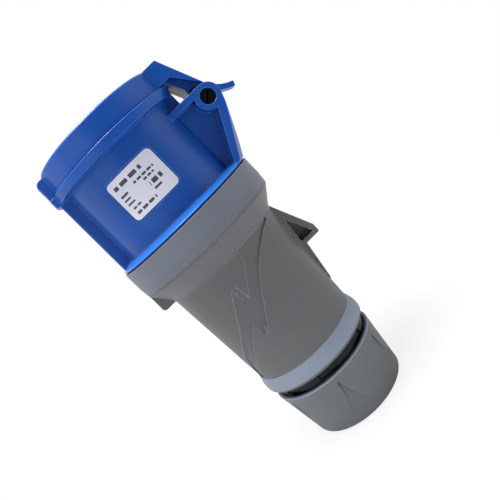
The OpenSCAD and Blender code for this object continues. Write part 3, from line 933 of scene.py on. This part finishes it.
@dataclass
class LidSpring:
    """The wire spring round the hinge pin, with one leg on the neck and one in the arm.

    The bar that the upper leg pushes on lies at rest. bend, the share of the coil's width that would
    twist between neck and lid, is not used.
    """

    rack: Rack
    pin_x: float = 48.3
    pin_z: float = 167.4
    coil_r: float = 4.85
    wire: float = 1.2
    turns: int = 5
    coil_w: float = 7.425
    pad_x: float = 37.6
    leg: float = 12.0
    slip: float = 0.05
    rest: tuple[float, float] = (44.3, 179.4)
    rest_r: float = 0.8
    bend: float = 0.84
    wire_sides: int = 14

    def low_end(self) -> tuple[float, float]:
        """Lower end of the wire, in the side view."""
        return self.pad_x + self.wire / 2 + self.slip, self.pin_z - self.leg

    def high_end(self) -> tuple[float, float]:
        """Upper end of the wire, which lies behind the arm's bar, in the side view."""
        reach = self.rest_r + self.wire / 2 + self.slip
        dx, dz = self.pin_x - self.rest[0], self.pin_z - self.rest[1]
        turn = math.atan2(dz, dx) + math.acos((self.coil_r + reach) / math.hypot(dx, dz))
        return (self.rest[0] + reach * math.cos(turn) - self.rest_r * math.sin(turn),
                self.rest[1] + reach * math.sin(turn) + self.rest_r * math.cos(turn))

    def touch(self, end: tuple[float, float], side: float) -> float:
        """Angle at which a straight leg meets the coil.

        Args:
            end: The leg's free end, in the side view.
            side: 1 or -1 for the side of the coil.

        Returns:
            The angle in radians round the pin.
        """
        dx, dz = end[0] - self.pin_x, end[1] - self.pin_z
        return math.atan2(dz, dx) + side * math.acos(self.coil_r / math.hypot(dx, dz))

    def wind(self, steps: int = 240) -> bpy.types.Object:
        """Winds the wire along its rule.

        Args:
            steps: Points on the coil.

        Returns:
            The spring.
        """
        low, high = self.low_end(), self.high_end()
        start = self.touch(low, 1.0)
        end = self.touch(high, -1.0) - 2 * math.pi * self.turns
        recipe = Recipe("wound_wire")
        coil_r = recipe.size("coil radius", self.coil_r)
        wire = recipe.size("wire diameter", self.wire)
        width = recipe.size("coil width", self.coil_w)
        turned = recipe.size("angle wound", end - start)
        from_turn = recipe.size("first angle", start)
        index = recipe.number("GeometryNodeInputIndex")
        first, last = index < 0.5, index > steps + 1.5
        share = ((index - 1.0) / float(steps)).at_least(0.0).at_most(1.0)
        angle = from_turn + turned * share
        x = self.pin_x + coil_r * angle.cosine()
        z = self.pin_z + coil_r * angle.sine()
        x = x + first * (low[0] - x) + last * (high[0] - x)
        z = z + first * (low[1] - z) + last * (high[1] - z)
        line = recipe.node("GeometryNodeCurvePrimitiveLine").outputs[0]
        points = recipe.node("GeometryNodeResampleCurve",
                             values={"Curve": line, "Count": steps + 3}).outputs[0]
        path = recipe.moved(points, recipe.vector(x * MM, (share - 0.5) * width * MM, z * MM))
        profile = recipe.node("GeometryNodeCurvePrimitiveCircle", values={
            "Resolution": self.wire_sides, "Radius": wire * (MM / 2)}).outputs[0]
        tube = recipe.node("GeometryNodeCurveToMesh", values={
            "Curve": path, "Profile Curve": profile, "Fill Caps": True}).outputs[0]
        recipe.finish(tube, self.rack.finish(WIRE))
        return recipe.make("lid_spring_wire", bpy.data.meshes.new("no_blank"))

    def build(self) -> list[str]:
        """Makes the spring, hides the imported one, and names it."""
        piece = self.wind()
        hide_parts("lid_spring")
        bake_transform(piece)
        return [piece.name]


@dataclass
class ContactInsert:
    """The insulating tower with its contacts, clips, covers and screws."""

    rack: Rack

    def build(self) -> list[str]:
        """Dresses the insert's pieces and names them."""
        shells = ("contact_carrier", "tower_face", "carrier_base", "terminal_cover")
        poles = ("line", "neutral", "earth")
        return self.rack.dress(INSERT, *shells) \
            + self.rack.dress(BRASS, *(f"{pole}_contact" for pole in poles)) \
            + self.rack.dress(WIRE, *(f"{pole}_clip" for pole in poles)) \
            + self.rack.dress(STEEL, "terminal_screws", "carrier_screws", "cover_screw")


@dataclass
class CableGland:
    """The threaded gland body with its locking blocks, its seals and clamp, and the scooped nut."""

    rack: Rack
    nut_len: float = 29.8
    nut_end_r: float = 28.0
    nut_top_r: float = 31.7
    nut_corner: float = 1.6
    nut_bevel: float = 0.9
    entry_r: float = 12.0
    nut_floor: float = 3.2
    cone_r: float = 15.8
    cone_top: float = 7.8
    counterbore_z: float = 24.9
    counterbore_r: float = 29.9
    thread_r: float = 25.5
    pitch: float = 3.0
    thread_depth: float = 0.9
    thread_lead: float = 0.3
    scoops: int = 6
    scoop_turn: float = -98.0
    scoop_tip: float = 25.7
    scoop_depth: float = 1.45
    scoop_point: float = 0.012
    scoop_flare: float = 0.1
    scoop_round: float = 75.0
    barrel_r: float = 25.3
    barrel_end: float = 12.5
    barrel_bore_r: float = 22.0
    collar_r: float = 28.4
    collar_z: float = 30.2
    flange_z: float = 35.0
    seat_r: float = 26.45
    groove_r: float = 24.6
    groove_z: tuple[float, float] = (39.0, 41.2)
    sleeve_top: float = 46.0
    inlet_r: float = 14.5
    inlet_z: tuple[float, float] = (33.0, 36.0)
    blocks: int = 8
    block_turn: float = -121.0
    block_w: float = 24.0
    block_proud: float = 1.2
    floor_rings: int = 6
    wall_rings: int = 30
    crown_rings: int = 4
    bore_rings: int = 44
    barrel_rings: int = 46
    crease: float = 28.0

    def nut_r(self, height: float) -> float:
        """Outer radius of the nut's plain wall at a height."""
        return self.nut_end_r + (self.nut_top_r - self.nut_end_r) * height / self.nut_len

    def nut_section(self) -> list[Row]:
        """The nut's rings, up the outside and down through the bore."""
        entry, end, corner = self.entry_r, self.nut_end_r, self.nut_corner
        tip, top, top_r = self.scoop_tip, self.nut_len, self.nut_top_r
        tip_r = self.nut_r(tip)
        ledge, ledge_r, thread_r = self.counterbore_z, self.counterbore_r, self.thread_r
        count = self.floor_rings
        section = [Row(entry + (end - corner - entry) * i / count, 0.0, i / count) for i in range(count)]
        section += [Row(end - corner + corner * math.sin(turn), corner - corner * math.cos(turn), 1.0)
                    for turn in map(math.radians, (0, 22.5, 45, 67.5))]
        section += rows((end, corner), (tip_r, tip), self.wall_rings, shaped=1.0)
        section += rows((tip_r, tip), (top_r, top - self.nut_bevel), self.crown_rings, shaped=1.0)
        section += [Row(*ring) for ring in (
            (top_r, top - self.nut_bevel, 1.0), (top_r - 0.25, top - 0.25),
            (top_r - self.nut_bevel, top), (ledge_r, top), (ledge_r, ledge + 0.1),
            (ledge_r - 0.1, ledge), (thread_r + self.thread_depth, ledge))]
        section += rows((thread_r, ledge - self.thread_lead),
                        (thread_r, self.cone_top + self.thread_lead), self.bore_rings, threaded=1.0)
        return section + [Row(*ring) for ring in (
            (thread_r, self.cone_top + 0.2), (thread_r, self.cone_top),
            (self.barrel_bore_r, self.cone_top), (self.cone_r, self.nut_floor),
            (entry, self.nut_floor), (entry, self.nut_floor / 2))]

    def body_section(self) -> list[Row]:
        """The gland body's rings, up the outside and down through the bore."""
        low, foot, flange, top = self.barrel_end, self.collar_z, self.flange_z, self.sleeve_top
        outer, collar, seat, bore = self.barrel_r, self.collar_r, self.seat_r, self.barrel_bore_r
        root, groove, inlet = outer - self.thread_depth, self.groove_r, self.inlet_r
        (low_cut, high_cut), (rest, step) = self.groove_z, self.inlet_z
        section = [Row(bore, low), Row(root, low)]
        section += rows((outer, low + self.thread_lead), (outer, foot), self.barrel_rings, threaded=1.0)
        return section + [Row(*ring) for ring in (
            (root, foot), (collar - 0.3, foot), (collar, foot + 0.3), (collar, foot + 0.5),
            (collar, foot + 0.55, 1.0), (collar, flange - 0.65, 1.0), (collar, flange - 0.6),
            (collar, flange), (seat, flange), (seat, low_cut), (groove, low_cut), (groove, high_cut),
            (seat, high_cut), (seat, top), (bore, top), (bore, step), (inlet, step), (inlet, rest),
            (bore, rest))]

    def thread(self, recipe: Recipe, angle: Signal, height: Signal) -> Signal:
        """How far a right-hand thread stands out.

        Args:
            recipe: The tree that the signal is for.
            angle: Angle round the axis in radians.
            height: Height.

        Returns:
            The distance, which is 0 on plain rings.
        """
        pitch = recipe.size("thread pitch", self.pitch)
        depth = recipe.size("thread depth", self.thread_depth)
        flank = abs((height / pitch - angle / (2 * math.pi)).fraction() - 0.5) * 2.0
        return recipe.column("threaded") * depth * flank

    def roll(self, recipe: Recipe, radius: Signal, angle: Signal, height: Signal, finish: Finish) -> None:
        """Puts the blank's points in place and ends the recipe.

        Args:
            recipe: The tree that ends here.
            radius: Distance from the long axis.
            angle: Angle round it in radians.
            height: Height.
            finish: What the piece is made of.
        """
        place = recipe.vector(radius * angle.cosine() * MM, radius * angle.sine() * MM, height * MM)
        recipe.finish(recipe.moved(recipe.blank(), place), self.rack.finish(finish))

    def nut(self) -> bpy.types.Object:
        """Makes the nut, whose scoops widen towards its end."""
        recipe = Recipe("scooped_nut")
        tip = recipe.size("scoop tip height", self.scoop_tip)
        depth = recipe.size("scoop depth", self.scoop_depth)
        end_r = recipe.size("end radius", self.nut_end_r)
        tip_r = recipe.size("radius at tip", self.nut_r(self.scoop_tip))
        half_turn = math.pi / self.scoops
        radius, height, shaped, share, sector = map(
            recipe.column, ("radius", "height", "shaped", "share", "sector"))
        below, above = (tip - height).at_least(0.0), (height - tip).at_least(0.0)
        half = below * self.scoop_flare + below * below / self.scoop_round
        crown = self.nut_len - self.nut_bevel - self.scoop_tip
        edge = (half / radius).at_least(self.scoop_point) + above * (half_turn / 2 / crown)
        edge = edge * shaped + (1.0 - shaped) * (half_turn / 2)
        side = abs(share)
        offset = side.at_most(0.5) * 2.0 * edge + (side - 0.5).at_least(0.0) * 2.0 * (half_turn - edge)
        middle = math.radians(self.scoop_turn) + sector * (2 * half_turn)
        angle = middle + ((share > 0.0) * 2.0 - 1.0) * offset
        floor = end_r + (tip_r - depth - end_r) * height / tip
        inside = (side < 0.5) * (height < tip - HAIR) * (shaped > 1.0 - HAIR)
        radius = radius - inside * (radius - floor).at_least(0.0) + self.thread(recipe, angle, height)
        self.roll(recipe, radius, angle, height, NUT_GREY)
        shares = (-1.0, -0.84, -0.67, -0.52, -0.465, -0.35, -0.24, -0.12,
                  0.0, 0.12, 0.24, 0.36, 0.485, 0.51, 0.67, 0.84)
        blank = turned_blank("nut_blank", self.nut_section(), self.scoops, shares)
        return recipe.make("scooped_gland_nut", blank, self.crease)

    def body(self) -> bpy.types.Object:
        """Makes the gland body, whose blocks stand round its collar."""
        recipe = Recipe("threaded_body")
        proud = recipe.size("block proud", self.block_proud)
        half_turn = math.pi / self.blocks
        height, share = recipe.column("height"), recipe.column("share")
        middle = math.radians(self.block_turn) + recipe.column("sector") * (2 * half_turn)
        angle = middle + share * half_turn
        inside = abs(share) < self.block_w * self.blocks / 360.0
        radius = recipe.column("radius") + recipe.column("shaped") * inside * proud
        self.roll(recipe, radius - self.thread(recipe, angle, height), angle, height, BLACK)
        shares = (-1.0, -0.83, -0.68, -0.545, -0.522, -0.35, -0.17,
                  0.0, 0.17, 0.35, 0.522, 0.545, 0.68, 0.83)
        blank = turned_blank("body_blank", self.body_section(), self.blocks, shares)
        return recipe.make("threaded_gland_body", blank, self.crease)

    def build(self) -> list[str]:
        """Makes and dresses the gland's pieces and names them."""
        nut, body = self.nut(), self.body()
        for piece, node, carrier, slot in ((nut, "gland_nut", Body.NUT, Slot.NUT_GREY),
                                           (body, "gland_body", Body.CONNECTOR, Slot.GLAND_BLACK)):
            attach(piece, carrier.value)
            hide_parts(node)
        return [nut.name, body.name] + self.rack.dress(SEAL, "gland_ring", "cable_seal") \
            + self.rack.dress(BLACK, "clamp_collet")


@dataclass(frozen=True)
class Lamp:
    """A soft square lamp that faces the connector's middle; lengths are in metres."""

    name: str
    place: Point
    size: float
    power: float
    colour: Colour = (1.0, 1.0, 1.0)

    def hang(self, aim: Point) -> None:
        """Hangs the lamp.

        Args:
            aim: The point that it faces.
        """
        data = bpy.data.lights.new(self.name, "AREA")
        data.shape, data.size, data.energy, data.color = "SQUARE", self.size, self.power, self.colour
        lamp = bpy.data.objects.new(self.name, data)
        lamp.location = self.place
        lamp.rotation_euler = (Vector(aim) - Vector(self.place)).to_track_quat("-Z", "Y").to_euler()
        bpy.context.scene.collection.objects.link(lamp)


@dataclass
class Stage:
    """Pale floor, soft lamps and the camera; lengths but the lens's are in metres."""

    camera_place: Point = (-0.0045, -0.2883, 0.1499)
    pitch: float = 4.54
    yaw: float = -0.79
    roll: float = -44.86
    lens: float = 39.75
    shift: tuple[float, float] = (0.116, -0.05)
    ambient: float = 0.12
    dim: float = 0.3
    blur: float = 0.35
    floor_half: float = 4.0
    floor_drop: float = 0.0005
    floor_fade: tuple[float, float] = (0.12, 0.38)
    shadow: float = 0.14
    aim: Point = (0.0, 0.0, 0.1)
    lamps: tuple[Lamp, ...] = (
        Lamp("key", (-0.05, -0.07, 1.1), 0.4, 28.0, (0.86, 0.93, 1.0)),
        Lamp("front", (-0.75, -0.9, 0.35), 0.9, 3.2, (0.96, 0.985, 1.0)),
        Lamp("left", (-1.0, -0.1, 0.5), 0.6, 1.8, (0.88, 0.94, 1.0)),
        Lamp("right", (0.9, -0.3, 0.2), 0.6, 1.5, (0.96, 0.985, 1.0)))

    def seen(self, tree: Tree, y: Signal) -> tuple[Signal, Signal]:
        """Which rays show the surroundings, and how bright they show.

        Args:
            tree: The tree that the signals are for.
            y: How far behind the object the ray ends, in metres.

        Returns:
            1 for rays that show them and 0 for rays that light the object, and the brightness,
            which is lower where gloss mirrors the dim room before the object.
        """
        path = tree.node("ShaderNodeLightPath").outputs
        straight, mirrored, passed = (Signal(tree, path[name]) for name in
                                      ("Is Camera Ray", "Is Glossy Ray", "Is Transmission Ray"))
        before = mirrored * (1.0 - straight) * y.step(self.blur, -self.blur)
        return straight.at_least(mirrored).at_least(passed), 1.0 - (1.0 - self.dim) * before

    def floor(self) -> None:
        """Lays a pale floor that shows white, apart from the object's shadow."""
        mesh = bpy.data.meshes.new("floor")
        mesh.from_pydata([(side * self.floor_half, end * self.floor_half, -self.floor_drop)
                          for side, end in ((-1, -1), (1, -1), (1, 1), (-1, 1))], [], [(0, 1, 2, 3)])
        floor = bpy.data.objects.new("floor", mesh)
        bpy.context.scene.collection.objects.link(floor)
        g = Graph("pale_floor")
        g.surface(Base_Color=srgb(212, 212, 214), Roughness=0.9)
        x, y, _ = g.xyz()
        near, clear = self.floor_fade
        far = (x * x + y * y).root().step(near / MM, clear / MM)
        seen, level = self.seen(g, y * MM)
        white = g.node("ShaderNodeEmission", values={"Color": (1.0, 1.0, 1.0), "Strength": level})
        blend = g.node("ShaderNodeMixShader", values={
            0: seen * (1.0 - self.shadow + self.shadow * far), 1: g.shader.outputs[0],
            2: white.outputs[0]})
        g.put(g.tree.nodes["Material Output"].inputs["Surface"], blend.outputs[0])
        mesh.materials.append(g.material)

    def world(self) -> None:
        """Makes the surroundings: a soft grey light that shows as white."""
        world = bpy.data.worlds.new("studio")
        bpy.context.scene.world = world
        world.use_nodes = True
        tree = Tree(world.node_tree)
        back = tree.tree.nodes["Background"]
        back.inputs["Color"].default_value = (1.0, 1.0, 1.0, 1.0)
        way = tree.node("ShaderNodeTexCoord").outputs["Object"]
        y = tree.number("ShaderNodeSeparateXYZ", {}, {0: way}, "Y")
        seen, level = self.seen(tree, y)
        tree.put(back.inputs["Strength"], self.ambient + seen * (level - self.ambient))

    def camera(self) -> None:
        """Sets up the camera: rows for right, down and forward, first level, then turned."""
        data = bpy.data.cameras.new("camera")
        data.lens, data.sensor_width, data.clip_start = self.lens, 36.0, 0.01
        data.shift_x, data.shift_y = self.shift
        camera = bpy.data.objects.new("camera", data)
        axes = Matrix(((1, 0, 0), (0, 0, -1), (0, 1, 0)))
        for turn, axis in ((self.pitch, "X"), (self.yaw, "Y"), (self.roll, "Z")):
            axes = Matrix.Rotation(math.radians(turn), 3, axis) @ axes
        frame = Matrix((axes[0], -axes[1], -axes[2])).transposed()
        camera.matrix_world = Matrix.Translation(self.camera_place) @ frame.to_4x4()
        bpy.context.scene.collection.objects.link(camera)
        bpy.context.scene.camera = camera

    def build(self) -> list[str]:
        """Sets the whole stage and names its lamps."""
        bpy.context.scene.view_settings.view_transform = "Standard"
        self.camera()
        self.world()
        self.floor()
        for lamp in self.lamps:
            lamp.hang(self.aim)
        return [lamp.name for lamp in self.lamps]


def main() -> None:
    """Builds the whole scene."""
    logging.basicConfig(level=logging.INFO, format="%(name)s: %(message)s")
    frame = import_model()
    rack = Rack(frame)
    for part in (Stage(), Handle(rack), FrontHousing(rack), RatingLabel(rack), HingedLid(rack),
                 LidSpring(rack), ContactInsert(rack), CableGland(rack)):
        for name in part.build():
            LOG.info("%s: %s", type(part).__name__, name)


if __name__ == "__main__":
    main()
